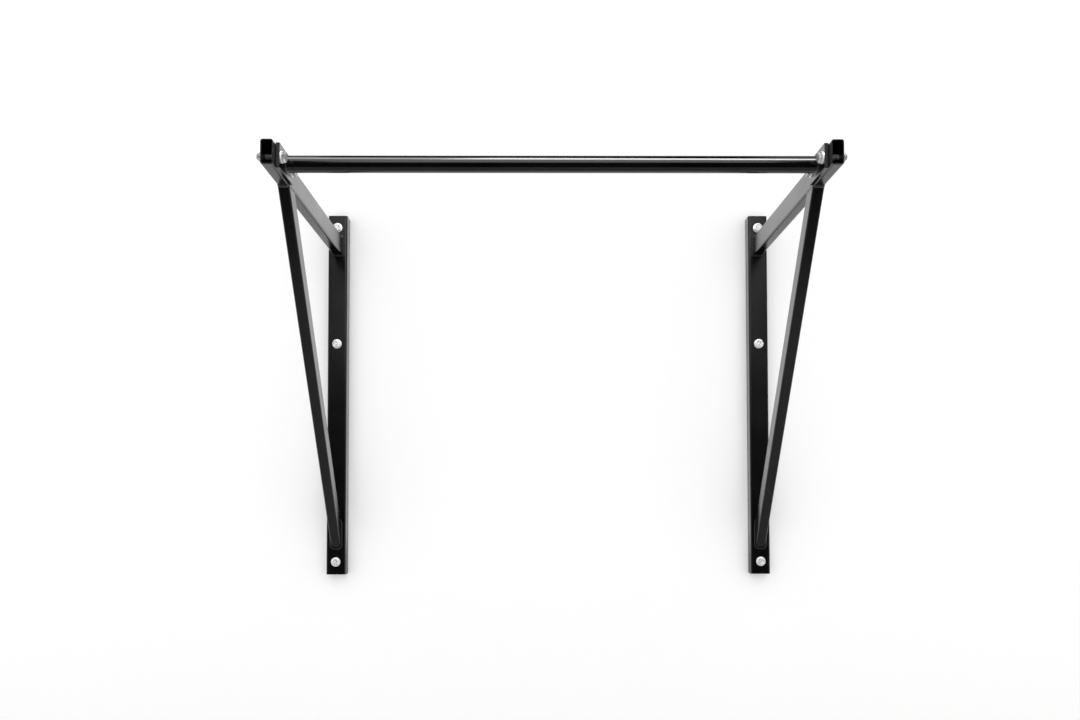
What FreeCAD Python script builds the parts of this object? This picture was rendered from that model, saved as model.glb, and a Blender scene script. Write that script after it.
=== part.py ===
import FreeCAD, Part
import math
import os
import Sketcher

# A pull up bar that bolts to a wall.  Two welded side frames, each an upright tube on the wall,
# a level arm and a raking brace, carry a round bar between the ends of their arms.  The bar has
# a flange plate welded to each end, and every plate is bolted through its arm.
#
# +X is the user's right, +Y points into the wall and +Z is up.  The origin lies on the wall
# plane, in the middle of the four outer wall bolts.

document = FreeCAD.newDocument("PullUpBar")

# ---------------------------------------------------------------- driving dimensions, millimetres

DIMENSIONS = (
    ("UprightSpacing", 1110, "between the centre lines of the two side frames"),
    ("UprightHeight", 945, "length of an upright tube"),
    ("UprightWidth", 50, "face of the upright that looks into the room"),
    ("UprightDepth", 30, "upright from the wall to its front face"),
    ("UprightWall", 2.5, "tube wall of the upright"),
    ("ArmDrop", 55, "from the top of the upright down to the top of the arm"),
    ("ArmHeight", 50, "arm tube, up and down"),
    ("ArmWidth", 25, "arm tube, side to side"),
    ("ArmWall", 2.5, "tube wall of the arm"),
    ("ArmOverhang", 67, "from the axis of the bar to the open end of the arm"),
    ("BraceDepth", 40, "brace tube, front to back, square to its length"),
    ("BraceWidth", 25, "brace tube, side to side"),
    ("BraceWall", 2, "tube wall of the brace"),
    ("BraceBehindBar", 50, "from the axis of the bar back to the front of the brace"),
    ("BraceFootHeight", 68.5, "from the foot of the upright to the front of the brace"),
    ("TubeCorner", 5, "outside corner radius of the rectangular tubes"),
    ("BarReach", 600, "from the wall to the axis of the bar"),
    ("BarDiameter", 33.7, "outside diameter of the bar"),
    ("BarWall", 2.6, "tube wall of the bar"),
    ("PlateLength", 100, "flange plate along the arm"),
    ("PlateHeight", 50, "flange plate, up and down"),
    ("PlateThickness", 8, "flange plate"),
    ("FlangeBoltSpacing", 75, "between the two bolts of a flange plate"),
    ("FlangeBoltLength", 50, "flange bolt under its head"),
    ("BoltDiameter", 12, "flange bolts, and the threads of the wall bolts"),
    ("BoltClearance", 1, "how much wider a bolt's hole is than the bolt"),
    ("HexAcrossFlats", 19, "bolt heads and nuts"),
    ("HeadHeight", 7.5, "bolt head"),
    ("NutHeight", 12, "lock nut with its collar"),
    ("NutHexHeight", 8.5, "hexagonal part of the lock nut"),
    ("NutCollarDiameter", 17, "round collar of the lock nut"),
    ("WasherDiameter", 24, "outside diameter of every washer"),
    ("WasherThickness", 2.5, "every washer"),
    ("WallBoltInset", 32.5, "from an end of the upright to its nearest wall bolt"),
    ("MiddleBoltDrop", 308, "from the top wall bolt down to the middle one"),
    ("WallBoltNeck", 10.8, "plain neck of a wall bolt, as thick as the blank of its rolled thread"),
    ("WallBoltDepth", 65, "how far a wall bolt stands out behind the upright"),
    ("WeldLeg", 5, "leg of every weld bead"),
    ("WeldLand", 1, "flat rim left on top of a weld bead"),
)

sizes = document.addObject("Spreadsheet::Sheet", "Sizes")
sizes.Label = "Sizes"
for row, (alias, value, meaning) in enumerate(DIMENSIONS, start=1):
    sizes.set(f"A{row}", alias)
    sizes.set(f"B{row}", str(value))
    sizes.set(f"C{row}", meaning)
    sizes.setAlias(f"B{row}", alias)
document.recompute()

# ---------------------------------------------------------------- places shared by several pieces

UPRIGHT_FRONT = "-Sizes.UprightDepth"
UPRIGHT_FOOT = "-Sizes.UprightHeight / 2"
ARM_AXIS = "(Sizes.UprightHeight / 2 - Sizes.ArmDrop - Sizes.ArmHeight / 2)"
ARM_UNDERSIDE = "(Sizes.UprightHeight / 2 - Sizes.ArmDrop - Sizes.ArmHeight)"
ARM_LENGTH = "(Sizes.BarReach + Sizes.ArmOverhang - Sizes.UprightDepth)"
ARM_INNER_SIDE = "(Sizes.UprightSpacing / 2 - Sizes.ArmWidth / 2)"
ARM_OUTER_SIDE = "(Sizes.UprightSpacing / 2 + Sizes.ArmWidth / 2)"
PLATE_INNER_SIDE = f"({ARM_INNER_SIDE} - Sizes.PlateThickness)"
BOLT_HOLE = "(Sizes.BoltDiameter + Sizes.BoltClearance)"

# The front face of the brace runs from its foot on the upright to the underside of the arm.
BRACE_RUN = "(Sizes.BarReach - Sizes.BraceBehindBar - Sizes.UprightDepth)"
BRACE_RISE = ("(Sizes.UprightHeight - Sizes.ArmDrop - Sizes.ArmHeight"
              " - Sizes.BraceFootHeight)")
BRACE_RAKE = f"atan2({BRACE_RUN}; {BRACE_RISE})"
BRACE_TOP_CUT = f"(Sizes.BraceDepth / cos({BRACE_RAKE}))"
BRACE_FOOT_CUT = f"(Sizes.BraceDepth / sin({BRACE_RAKE}))"
BRACE_FOOT = f"({UPRIGHT_FOOT} + Sizes.BraceFootHeight)"

# How far each hexagon happens to be turned when it is tight, in degrees from corner upwards.
FLANGE_HEAD_TURNS = (4, 41)
LOCK_NUT_TURNS = (30, 12)
WALL_HEAD_TURNS = (8, 33, 52)

SIDES = (("left", -1), ("right", 1))
X_AXIS = FreeCAD.Vector(1, 0, 0)
Y_AXIS = FreeCAD.Vector(0, 1, 0)
Z_AXIS = FreeCAD.Vector(0, 0, 1)


# ---------------------------------------------------------------- how the pieces are made

def number(text):
    """The present value of a size expression."""
    value = document.Notes.evalExpression(text)
    return float(getattr(value, "Value", value))


def bind(item, **expressions):
    """Tie properties of an object to the sheet."""
    for name, text in expressions.items():
        item.setExpression(name, str(text))


def place(item, x="0", y="0", z="0", axis=Z_AXIS, angle=0):
    """Turn an object about an axis through its own origin and put that origin at x, y, z."""
    item.Placement = FreeCAD.Placement(FreeCAD.Vector(), FreeCAD.Rotation(axis, 1))
    for name, text in zip("xyz", (x, y, z)):
        item.setExpression(f"Placement.Base.{name}", str(text))
    item.setExpression("Placement.Rotation.Angle", str(angle))


def new_body(label):
    body = document.addObject("PartDesign::Body", label)
    body.Label = label
    return body


def new_sketch(body, plane, name):
    """An empty sketch on one of the body's own origin planes."""
    sketch = body.newObject("Sketcher::SketchObject", name)
    support = next(face for face in body.Origin.OriginFeatures if face.Role == plane)
    sketch.AttachmentSupport = [(support, "")]
    sketch.MapMode = "FlatFace"
    return sketch


def constrain(sketch, name, expression, *terms):
    """Add a named dimension to a sketch and tie it to the sheet."""
    index = sketch.addConstraint(Sketcher.Constraint(*terms, number(expression)))
    sketch.renameConstraint(index, name)
    sketch.setExpression(f"Constraints.{name}", expression)


def rounded_rectangle(sketch, width, height, radius):
    """A rectangle with round corners, centred on the origin of the sketch."""
    half_w, half_h, corner = number(width) / 2, number(height) / 2, number(radius)
    in_w, in_h = half_w - corner, half_h - corner
    quarter = math.pi / 2
    ends = (((-in_w, -half_h), (in_w, -half_h)), ((half_w, -in_h), (half_w, in_h)),
            ((in_w, half_h), (-in_w, half_h)), ((-half_w, in_h), (-half_w, -in_h)))
    centres = ((in_w, -in_h), (in_w, in_h), (-in_w, in_h), (-in_w, -in_h))
    lines = []
    arcs = []
    for step, ((start, end), centre) in enumerate(zip(ends, centres)):
        line = Part.LineSegment(FreeCAD.Vector(*start, 0), FreeCAD.Vector(*end, 0))
        lines.append(sketch.addGeometry(line))
        circle = Part.Circle(FreeCAD.Vector(*centre, 0), Z_AXIS, corner)
        arc = Part.ArcOfCircle(circle, quarter * (step - 1), quarter * step)
        arcs.append(sketch.addGeometry(arc))
    for step in range(4):
        after = lines[(step + 1) % 4]
        sketch.addConstraint(Sketcher.Constraint("Tangent", lines[step], 2, arcs[step], 1))
        sketch.addConstraint(Sketcher.Constraint("Tangent", arcs[step], 2, after, 1))
        direction = "Horizontal" if step % 2 == 0 else "Vertical"
        sketch.addConstraint(Sketcher.Constraint(direction, lines[step]))
    for arc in arcs[1:]:
        sketch.addConstraint(Sketcher.Constraint("Equal", arcs[0], arc))
    bottom, right, top, left = lines
    sketch.addConstraint(Sketcher.Constraint("Symmetric", bottom, 1, top, 1, -1, 1))
    constrain(sketch, "Width", width, "DistanceX", left, 1, right, 1)
    constrain(sketch, "Height", height, "DistanceY", bottom, 1, top, 1)
    constrain(sketch, "Radius", radius, "Radius", arcs[0])


def straight_outline(sketch, corners):
    """A closed outline of straight lines through corners given as pairs of expressions."""
    points = [FreeCAD.Vector(number(across), number(up), 0) for across, up in corners]
    lines = [sketch.addGeometry(Part.LineSegment(start, end))
             for start, end in zip(points, points[1:] + points[:1])]
    for line, after in zip(lines, lines[1:] + lines[:1]):
        sketch.addConstraint(Sketcher.Constraint("Coincident", line, 2, after, 1))
    for count, (line, (across, up)) in enumerate(zip(lines, corners), start=1):
        constrain(sketch, f"Corner{count}Across", across, "DistanceX", -1, 1, line, 1)
        constrain(sketch, f"Corner{count}Up", up, "DistanceY", -1, 1, line, 1)


def square_rectangle(sketch, width, height):
    """A rectangle with square corners, centred on the origin of the sketch."""
    right, top = f"({width}) / 2", f"({height}) / 2"
    straight_outline(sketch, ((f"-{right}", f"-{top}"), (right, f"-{top}"),
                              (right, top), (f"-{right}", top)))


def tube_section(sketch, width, height, wall):
    """The outline of a rectangular tube with round corners, and its bore."""
    rounded_rectangle(sketch, width, height, "Sizes.TubeCorner")
    square_rectangle(sketch, f"{width} - 2 * {wall}", f"{height} - 2 * {wall}")


def circles(sketch, diameter, centres):
    """Equal circles, each at a pair of expressions for its place."""
    for count, (across, up) in enumerate(centres, start=1):
        centre = FreeCAD.Vector(number(across), number(up), 0)
        ring = sketch.addGeometry(Part.Circle(centre, Z_AXIS, number(diameter) / 2))
        constrain(sketch, f"Hole{count}Across", across, "DistanceX", -1, 1, ring, 3)
        constrain(sketch, f"Hole{count}Up", up, "DistanceY", -1, 1, ring, 3)
        constrain(sketch, f"Hole{count}Diameter", diameter, "Diameter", ring)


def pad(body, sketch, length, symmetric=False, reverse=False, taper=None):
    feature = body.newObject("PartDesign::Pad", "Pad")
    feature.Profile = sketch
    feature.Midplane = symmetric
    feature.Reversed = reverse
    bind(feature, Length=length)
    if taper:
        bind(feature, TaperAngle=taper)
    body.Tip = feature
    document.recompute()
    return feature


def drill(body, sketch, depth):
    """Cut a sketch out of the body, on both sides of its plane."""
    before = body.Shape.Volume
    feature = body.newObject("PartDesign::Pocket", "Holes")
    feature.Profile = sketch
    feature.Midplane = True
    bind(feature, Length=depth)
    body.Tip = feature
    document.recompute()
    if body.Shape.Volume >= before:
        raise ValueError(f"{body.Label}: the cut took nothing away")


def primitive(kind, name, **expressions):
    item = document.addObject(f"Part::{kind}", name)
    item.Label = name
    bind(item, **expressions)
    return item


def cut(name, base, *tools):
    """The base with every tool taken away."""
    tool = tools[0]
    if len(tools) > 1:
        tool = document.addObject("Part::MultiFuse", f"{name}_tools")
        tool.Shapes = list(tools)
    result = document.addObject("Part::Cut", name)
    result.Label = name
    result.Base = base
    result.Tool = tool
    return result


def common(name, base, tool):
    result = document.addObject("Part::Common", name)
    result.Label = name
    result.Base = base
    result.Tool = tool
    return result


def fuse(name, *pieces):
    result = document.addObject("Part::MultiFuse", name)
    result.Label = name
    result.Shapes = list(pieces)
    return result


def group(name, pieces):
    """Like pieces kept as separate solids in one node."""
    result = document.addObject("Part::Compound", name)
    result.Label = name
    result.Links = pieces
    return result


document.addObject("App::FeaturePython", "Notes")
nodes = []
shared_nodes = {}


def share(name, piece):
    """Add a piece to a node that holds the like pieces of both side frames."""
    shared_nodes.setdefault(name, []).append(piece)


# ---------------------------------------------------------------- side frames

def make_upright(side, sign):
    """Rectangular tube that stands on the wall, drilled through for three wall bolts."""
    body = new_body(f"{side}_upright")
    section = new_sketch(body, "XY_Plane", "Section")
    tube_section(section, "Sizes.UprightWidth", "Sizes.UprightDepth", "Sizes.UprightWall")
    pad(body, section, "Sizes.UprightHeight")
    holes = new_sketch(body, "XZ_Plane", "WallBoltHoles")
    circles(holes, BOLT_HOLE, [("0", f"{height} + Sizes.UprightHeight / 2")
                               for height in wall_bolt_heights()])
    drill(body, holes, "2 * Sizes.UprightDepth")
    place(body, f"{sign} * Sizes.UprightSpacing / 2", "-Sizes.UprightDepth / 2", UPRIGHT_FOOT)
    return body


def make_arm(side, sign):
    """Level tube welded to the upright, open at its front, with the flange bolt holes."""
    body = new_body(f"{side}_arm")
    section = new_sketch(body, "XZ_Plane", "Section")
    tube_section(section, "Sizes.ArmWidth", "Sizes.ArmHeight", "Sizes.ArmWall")
    pad(body, section, ARM_LENGTH)
    holes = new_sketch(body, "YZ_Plane", "FlangeBoltHoles")
    circles(holes, BOLT_HOLE, [(f"{place_y} + Sizes.UprightDepth", "0")
                               for place_y in flange_bolt_places()])
    drill(body, holes, "2 * Sizes.ArmWidth")
    place(body, f"{sign} * Sizes.UprightSpacing / 2", UPRIGHT_FRONT, ARM_AXIS)
    return body


def mitre_corner(side, sign):
    """The space in front of the upright and under the arm, which mitres the brace."""
    corner = primitive("Box", f"{side}_mitre_corner", Length="2 * Sizes.BraceWidth",
                       Width=f"2 * {BRACE_RUN}", Height=f"2 * {BRACE_RISE}")
    place(corner, f"{sign} * Sizes.UprightSpacing / 2 - Sizes.BraceWidth",
          f"{UPRIGHT_FRONT} - 2 * {BRACE_RUN}", f"{ARM_UNDERSIDE} - 2 * {BRACE_RISE}")
    return corner


def brace_stock(name, sign, hollow):
    """A long piece of the brace tube, or of its outline only, lying where the brace lies."""
    stock = new_body(name)
    section = new_sketch(stock, "XY_Plane", "Section")
    if hollow:
        tube_section(section, "Sizes.BraceWidth", "Sizes.BraceDepth", "Sizes.BraceWall")
    else:
        rounded_rectangle(section, "Sizes.BraceWidth", "Sizes.BraceDepth", "Sizes.TubeCorner")
    pad(stock, section, f"2 * ({BRACE_RUN} + {BRACE_RISE})", symmetric=True)
    middle_y = (f"{UPRIGHT_FRONT} - {BRACE_RUN} / 2"
                f" + Sizes.BraceDepth / 2 * cos({BRACE_RAKE})")
    middle_z = f"{BRACE_FOOT} + {BRACE_RISE} / 2 + Sizes.BraceDepth / 2 * sin({BRACE_RAKE})"
    place(stock, f"{sign} * Sizes.UprightSpacing / 2", middle_y, middle_z, X_AXIS, BRACE_RAKE)
    return stock


def make_brace(side, sign, corner):
    """Raking tube, mitred to the underside of the arm and to the front of the upright."""
    return common(f"{side}_brace", brace_stock(f"{side}_brace_stock", sign, True), corner)


def make_envelopes(side, sign, corner):
    """Solid bars with the outlines of the arm and the brace, for shaping the weld beads."""
    arm = new_body(f"{side}_arm_envelope")
    section = new_sketch(arm, "XZ_Plane", "Outline")
    rounded_rectangle(section, "Sizes.ArmWidth", "Sizes.ArmHeight", "Sizes.TubeCorner")
    pad(arm, section, ARM_LENGTH)
    place(arm, f"{sign} * Sizes.UprightSpacing / 2", UPRIGHT_FRONT, ARM_AXIS)
    solid_stock = brace_stock(f"{side}_brace_solid_stock", sign, False)
    return arm, common(f"{side}_brace_envelope", solid_stock, corner)


def make_root_weld(side, sign, name, envelope, width, height, corner, middle):
    """Four straight beads on the front of the upright, along the flats of a tube's end."""
    x = f"{sign} * Sizes.UprightSpacing / 2"
    collar = new_body(f"{side}_{name}_collar")
    root = new_sketch(collar, "XZ_Plane", "Root")
    square_rectangle(root, f"{width} + 2 * Sizes.WeldLeg", f"{height} + 2 * Sizes.WeldLeg")
    pad(collar, root, "Sizes.WeldLeg",
        taper="-atan((Sizes.WeldLeg - Sizes.WeldLand) / Sizes.WeldLeg)")
    place(collar, x, UPRIGHT_FRONT, middle)
    flats = []
    for way, wide, high in (("upright", f"{width} - 2 * Sizes.TubeCorner", f"2 * {height}"),
                            ("level", f"2 * {width}", f"{height} - 2 * {corner}")):
        box = primitive("Box", f"{side}_{name}_{way}_flats", Length=wide, Height=high,
                        Width="2 * Sizes.WeldLeg")
        place(box, f"{x} - ({wide}) / 2", f"{UPRIGHT_FRONT} - Sizes.WeldLeg",
              f"{middle} - ({high}) / 2")
        flats.append(box)
    ring = cut(f"{side}_{name}_ring", collar, envelope)
    share(f"{name}s", common(f"{side}_{name}", ring, fuse(f"{side}_{name}_flats", *flats)))


def make_brace_top_weld(side, sign, arm_envelope, brace_envelope):
    """Bead round the mitred top of the brace, filling the grooves beside the round corners."""
    blank = new_body(f"{side}_brace_top_weld_blank")
    outline = new_sketch(blank, "YZ_Plane", "Outline")
    back = f"Sizes.WeldLeg * sin({BRACE_RAKE})"
    down = f"-Sizes.WeldLeg * cos({BRACE_RAKE})"
    straight_outline(outline, (
        ("-Sizes.WeldLeg", "0"),
        (back, down),
        (f"{BRACE_TOP_CUT} + {back}", down),
        (f"{BRACE_TOP_CUT} + Sizes.WeldLeg", "0"),
        (f"{BRACE_TOP_CUT} + Sizes.WeldLeg", "Sizes.TubeCorner"),
        ("-Sizes.WeldLeg", "Sizes.TubeCorner")))
    pad(blank, outline, "Sizes.BraceWidth", symmetric=True)
    place(blank, f"{sign} * Sizes.UprightSpacing / 2", f"{UPRIGHT_FRONT} - {BRACE_RUN}",
          ARM_UNDERSIDE)
    share("brace_top_welds", cut(f"{side}_brace_top_weld", blank, arm_envelope, brace_envelope))


# ---------------------------------------------------------------- bar and flange plates

def face_inward(item, sign, x, y, z, turn=0):
    """Put a piece made along +Z at x, y, z with its +Z towards the middle of the bar."""
    item.Placement = FreeCAD.Placement(
        FreeCAD.Vector(), FreeCAD.Rotation(Y_AXIS, -90 * sign) * FreeCAD.Rotation(Z_AXIS, turn))
    for name, text in zip("xyz", (x, y, z)):
        item.setExpression(f"Placement.Base.{name}", text)


def make_pull_up_bar():
    """Round tube that butts against both flange plates."""
    length = f"2 * {PLATE_INNER_SIDE}"
    outside = primitive("Cylinder", "pull_up_bar_outside", Radius="Sizes.BarDiameter / 2",
                        Height=length)
    bore = primitive("Cylinder", "pull_up_bar_bore", Height=length,
                     Radius="Sizes.BarDiameter / 2 - Sizes.BarWall")
    for item in (outside, bore):
        face_inward(item, -1, f"-{PLATE_INNER_SIDE}", "-Sizes.BarReach", ARM_AXIS)
    return cut("pull_up_bar", outside, bore)


def make_flange_plate(side, sign):
    """Flat plate on the inner side of the arm, with a bolt hole before and behind the bar."""
    body = new_body(f"{side}_flange_plate")
    outline = new_sketch(body, "YZ_Plane", "Outline")
    square_rectangle(outline, "Sizes.PlateLength", "Sizes.PlateHeight")
    circles(outline, BOLT_HOLE, [(f"{place_y} + Sizes.BarReach", "0")
                                 for place_y in flange_bolt_places()])
    pad(body, outline, "Sizes.PlateThickness", reverse=sign > 0)
    place(body, f"{sign} * {ARM_INNER_SIDE}", "-Sizes.BarReach", ARM_AXIS)
    return body


def make_bar_weld(side, sign):
    """Fillet bead all round the bar where it meets its flange plate."""
    name = f"{side}_bar_weld"
    bead = primitive("Cone", f"{name}_bead", Height="Sizes.WeldLeg",
                     Radius1="Sizes.BarDiameter / 2 + Sizes.WeldLeg",
                     Radius2="Sizes.BarDiameter / 2 + Sizes.WeldLand")
    bar = primitive("Cylinder", f"{name}_bore", Height="Sizes.WeldLeg",
                    Radius="Sizes.BarDiameter / 2")
    for item in (bead, bar):
        face_inward(item, sign, f"{sign} * {PLATE_INNER_SIDE}", "-Sizes.BarReach", ARM_AXIS)
    share("bar_welds", cut(name, bead, bar))


# ---------------------------------------------------------------- fasteners

def hexagon(name, height):
    """A hexagonal block on +Z, for a bolt head or a nut."""
    block = primitive("Prism", name, Circumradius="Sizes.HexAcrossFlats / sqrt(3)",
                      Height=height)
    block.Polygon = 6
    return block


def rod(name, diameter, start, length):
    """A round stretch of a bolt, along -Z from a depth under the head."""
    item = primitive("Cylinder", name, Radius=f"{diameter} / 2", Height=length)
    place(item, z=f"-({start} + {length})")
    return item


def flange_bolt(name):
    """A hexagon head on +Z over a shank."""
    return fuse(name, hexagon(f"{name}_head", "Sizes.HeadHeight"),
                rod(f"{name}_shank", "Sizes.BoltDiameter", "0", "Sizes.FlangeBoltLength"))


def wall_bolt(name):
    """A hexagon head on +Z, a plain neck as far as the wall, and a thread."""
    neck = "(Sizes.WasherThickness + Sizes.UprightDepth)"
    return fuse(name, hexagon(f"{name}_head", "Sizes.HeadHeight"),
                rod(f"{name}_neck", "Sizes.WallBoltNeck", "0", neck),
                rod(f"{name}_thread", "Sizes.BoltDiameter", neck, "Sizes.WallBoltDepth"))


def washer(name):
    """A flat washer on +Z."""
    disc = primitive("Cylinder", f"{name}_disc", Radius="Sizes.WasherDiameter / 2",
                     Height="Sizes.WasherThickness")
    hole = primitive("Cylinder", f"{name}_hole", Radius=f"{BOLT_HOLE} / 2",
                     Height="Sizes.WasherThickness")
    return cut(name, disc, hole)


def lock_nut(name):
    """A hexagon nut on +Z with the round collar that holds its nylon ring."""
    collar = primitive("Cylinder", f"{name}_collar", Height="Sizes.NutHeight",
                       Radius="Sizes.NutCollarDiameter / 2")
    bore = primitive("Cylinder", f"{name}_bore", Radius="Sizes.BoltDiameter / 2",
                     Height="Sizes.NutHeight")
    blank = fuse(f"{name}_blank", hexagon(f"{name}_hexagon", "Sizes.NutHexHeight"), collar)
    return cut(name, blank, bore)


def flange_bolt_places():
    """Where the two bolts of a flange plate lie along Y."""
    return [f"-Sizes.BarReach {end} Sizes.FlangeBoltSpacing / 2" for end in "-+"]


def wall_bolt_heights():
    """The heights of the wall bolts, from the top one down."""
    top = "Sizes.UprightHeight / 2 - Sizes.WallBoltInset"
    return [top, f"{top} - Sizes.MiddleBoltDrop", f"-({top})"]


def make_flange_fasteners(side, sign):
    """A bolt, a washer under its head and a lock nut, before and behind the bar."""
    washer_side = f"{sign} * ({PLATE_INNER_SIDE} - Sizes.WasherThickness)"
    bolts = []
    ends = zip(("front", "rear"), flange_bolt_places(), FLANGE_HEAD_TURNS, LOCK_NUT_TURNS)
    for end, place_y, head_turn, nut_turn in ends:
        bolt = flange_bolt(f"{side}_{end}_flange_bolt")
        face_inward(bolt, sign, washer_side, place_y, ARM_AXIS, head_turn)
        bolts.append(bolt)
        disc = washer(f"{side}_{end}_bolt_head_washer")
        face_inward(disc, sign, f"{sign} * {PLATE_INNER_SIDE}", place_y, ARM_AXIS)
        share("bolt_head_washers", disc)
        nut = lock_nut(f"{side}_{end}_lock_nut")
        face_inward(nut, -sign, f"{sign} * {ARM_OUTER_SIDE}", place_y, ARM_AXIS, nut_turn)
        share("lock_nuts", nut)
    return group(f"{side}_flange_bolts", bolts)


def face_room(item, x, y, z, turn=0):
    """Put a piece made along +Z at x, y, z with its +Z away from the wall."""
    item.Placement = FreeCAD.Placement(
        FreeCAD.Vector(), FreeCAD.Rotation(X_AXIS, 90) * FreeCAD.Rotation(Z_AXIS, turn))
    for name, text in zip("xyz", (x, y, z)):
        item.setExpression(f"Placement.Base.{name}", text)


def make_wall_fasteners(side, sign):
    """Three long bolts with washers, through the upright and into the wall."""
    x = f"{sign} * Sizes.UprightSpacing / 2"
    bolts, washers = [], []
    for count, (height, turn) in enumerate(zip(wall_bolt_heights(), WALL_HEAD_TURNS), start=1):
        bolt = wall_bolt(f"{side}_wall_bolt_{count}")
        face_room(bolt, x, f"{UPRIGHT_FRONT} - Sizes.WasherThickness", height, sign * turn)
        bolts.append(bolt)
        disc = washer(f"{side}_wall_washer_{count}")
        face_room(disc, x, UPRIGHT_FRONT, height)
        washers.append(disc)
    return group(f"{side}_wall_bolts", bolts), group(f"{side}_wall_washers", washers)


# ---------------------------------------------------------------- assembly

for side, sign in SIDES:
    nodes.append(make_upright(side, sign))
    nodes.append(make_arm(side, sign))
    corner = mitre_corner(side, sign)
    nodes.append(make_brace(side, sign, corner))
    arm_envelope, brace_envelope = make_envelopes(side, sign, corner)
    make_root_weld(side, sign, "arm_weld", arm_envelope, "Sizes.ArmWidth",
                   "Sizes.ArmHeight", "Sizes.TubeCorner", ARM_AXIS)
    make_root_weld(side, sign, "brace_foot_weld", brace_envelope, "Sizes.BraceWidth",
                   BRACE_FOOT_CUT, f"Sizes.TubeCorner / sin({BRACE_RAKE})",
                   f"({BRACE_FOOT} + {BRACE_FOOT_CUT} / 2)")
    make_brace_top_weld(side, sign, arm_envelope, brace_envelope)
    nodes.append(make_flange_plate(side, sign))
    make_bar_weld(side, sign)
    nodes.append(make_flange_fasteners(side, sign))
    nodes.extend(make_wall_fasteners(side, sign))
nodes.append(make_pull_up_bar())
nodes.extend(group(name, pieces) for name, pieces in shared_nodes.items())
document.recompute()

for item in document.Objects:
    if "Invalid" in item.State or "Error" in item.State:
        raise ValueError(f"{item.Label} did not recompute: {item.State}")
for node in nodes:
    if node.Shape.isNull() or not node.Shape.isValid() or not node.Shape.Solids:
        raise ValueError(f"{node.Label} has no valid shape")

os.makedirs("parts", exist_ok=True)
for node in nodes:
    node.Shape.exportStep(f"parts/{node.Label}.step")
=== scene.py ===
# A wall-mounted pull-up bar: two welded side frames of black steel tube, a round bar between
# their arms on flange plates, and zinc-plated bolts. All lengths are in metres.
import math

import bmesh
import bpy
from mathutils import Matrix, Vector


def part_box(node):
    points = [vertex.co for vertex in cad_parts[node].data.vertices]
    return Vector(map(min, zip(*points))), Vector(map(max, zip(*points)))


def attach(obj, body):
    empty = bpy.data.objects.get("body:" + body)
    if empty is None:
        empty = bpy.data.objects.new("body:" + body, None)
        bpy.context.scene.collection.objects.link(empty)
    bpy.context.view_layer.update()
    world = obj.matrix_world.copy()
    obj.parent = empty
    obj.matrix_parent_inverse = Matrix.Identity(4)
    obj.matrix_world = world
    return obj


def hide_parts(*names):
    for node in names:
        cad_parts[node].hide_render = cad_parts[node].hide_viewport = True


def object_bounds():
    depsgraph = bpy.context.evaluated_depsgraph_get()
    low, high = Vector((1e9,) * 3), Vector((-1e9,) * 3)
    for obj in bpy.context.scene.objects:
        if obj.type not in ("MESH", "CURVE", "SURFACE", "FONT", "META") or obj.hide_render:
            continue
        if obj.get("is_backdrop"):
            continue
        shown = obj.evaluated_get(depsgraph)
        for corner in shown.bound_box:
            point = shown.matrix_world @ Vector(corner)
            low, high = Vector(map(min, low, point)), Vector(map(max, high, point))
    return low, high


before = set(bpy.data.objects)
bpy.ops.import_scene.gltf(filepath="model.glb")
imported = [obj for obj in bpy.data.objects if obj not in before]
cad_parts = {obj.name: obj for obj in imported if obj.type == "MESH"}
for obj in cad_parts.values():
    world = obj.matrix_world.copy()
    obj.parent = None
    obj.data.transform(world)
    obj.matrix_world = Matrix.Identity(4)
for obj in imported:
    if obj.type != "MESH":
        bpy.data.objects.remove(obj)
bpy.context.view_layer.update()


# ------------------------------------------------------------------ uprights
# Two lengths of rectangular steel tube stand against the wall, sawn square and drilled right
# through for three wall bolts each. Each side frame is welded first and then powder coated
# whole, so its tubes and welds share one satin black skin with a fine pimpled grain.

# The two sides, and the way that each lies from the middle along X.
SIDES = {"left": -1, "right": 1}

DEEP_BLACK = (0.0018, 0.0018, 0.0019, 1)
FADED_BLACK = (0.0036, 0.0036, 0.0037, 1)
THIN_COAT = (0.012, 0.012, 0.0124, 1)
CHALK_DUST = (0.22, 0.21, 0.2, 1)
DUST_DULLS = 0.6
COAT_IOR = 1.48


def shader_node(tree, kind, joins=None, **settings):
    """Adds a shader node, sets it up, and joins or sets the inputs named or numbered in joins."""
    made = tree.nodes.new("ShaderNode" + kind)
    for name, value in settings.items():
        setattr(made, name, value)
    for name, value in (joins or {}).items():
        if isinstance(value, bpy.types.NodeSocket):
            tree.links.new(value, made.inputs[name])
        else:
            made.inputs[name].default_value = value
    return made


def effect(name, inputs, outputs):
    """A node group with number inputs: gives its tree, its entrance and its exit."""
    tree = bpy.data.node_groups.new(name, "ShaderNodeTree")
    for label, value in inputs.items():
        socket = tree.interface.new_socket(label, in_out="INPUT", socket_type="NodeSocketFloat")
        socket.default_value = value
    for label, kind in outputs.items():
        tree.interface.new_socket(label, in_out="OUTPUT", socket_type="NodeSocket" + kind)
    return tree, tree.nodes.new("NodeGroupInput").outputs, tree.nodes.new("NodeGroupOutput").inputs


def surface_noise(tree, scale, detail, roughness=0.5):
    """Noise fixed to the object, so that it runs on from piece to piece."""
    place = shader_node(tree, "TexCoord").outputs["Object"]
    return shader_node(tree, "TexNoise", {"Vector": place, "Scale": scale, "Detail": detail,
                                          "Roughness": roughness}).outputs[0]


def spread(tree, value, from_low, from_high, to_low=0.0, to_high=1.0):
    """Stretches one range of a value over another and holds it there."""
    return shader_node(tree, "MapRange", {
        "Value": value, "From Min": from_low, "From Max": from_high,
        "To Min": to_low, "To Max": to_high}, interpolation_type="SMOOTHSTEP").outputs[0]


def combine(tree, operation, one, two):
    """Two values put together by a Math node."""
    return shader_node(tree, "Math", {0: one, 1: two}, operation=operation).outputs[0]


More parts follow.
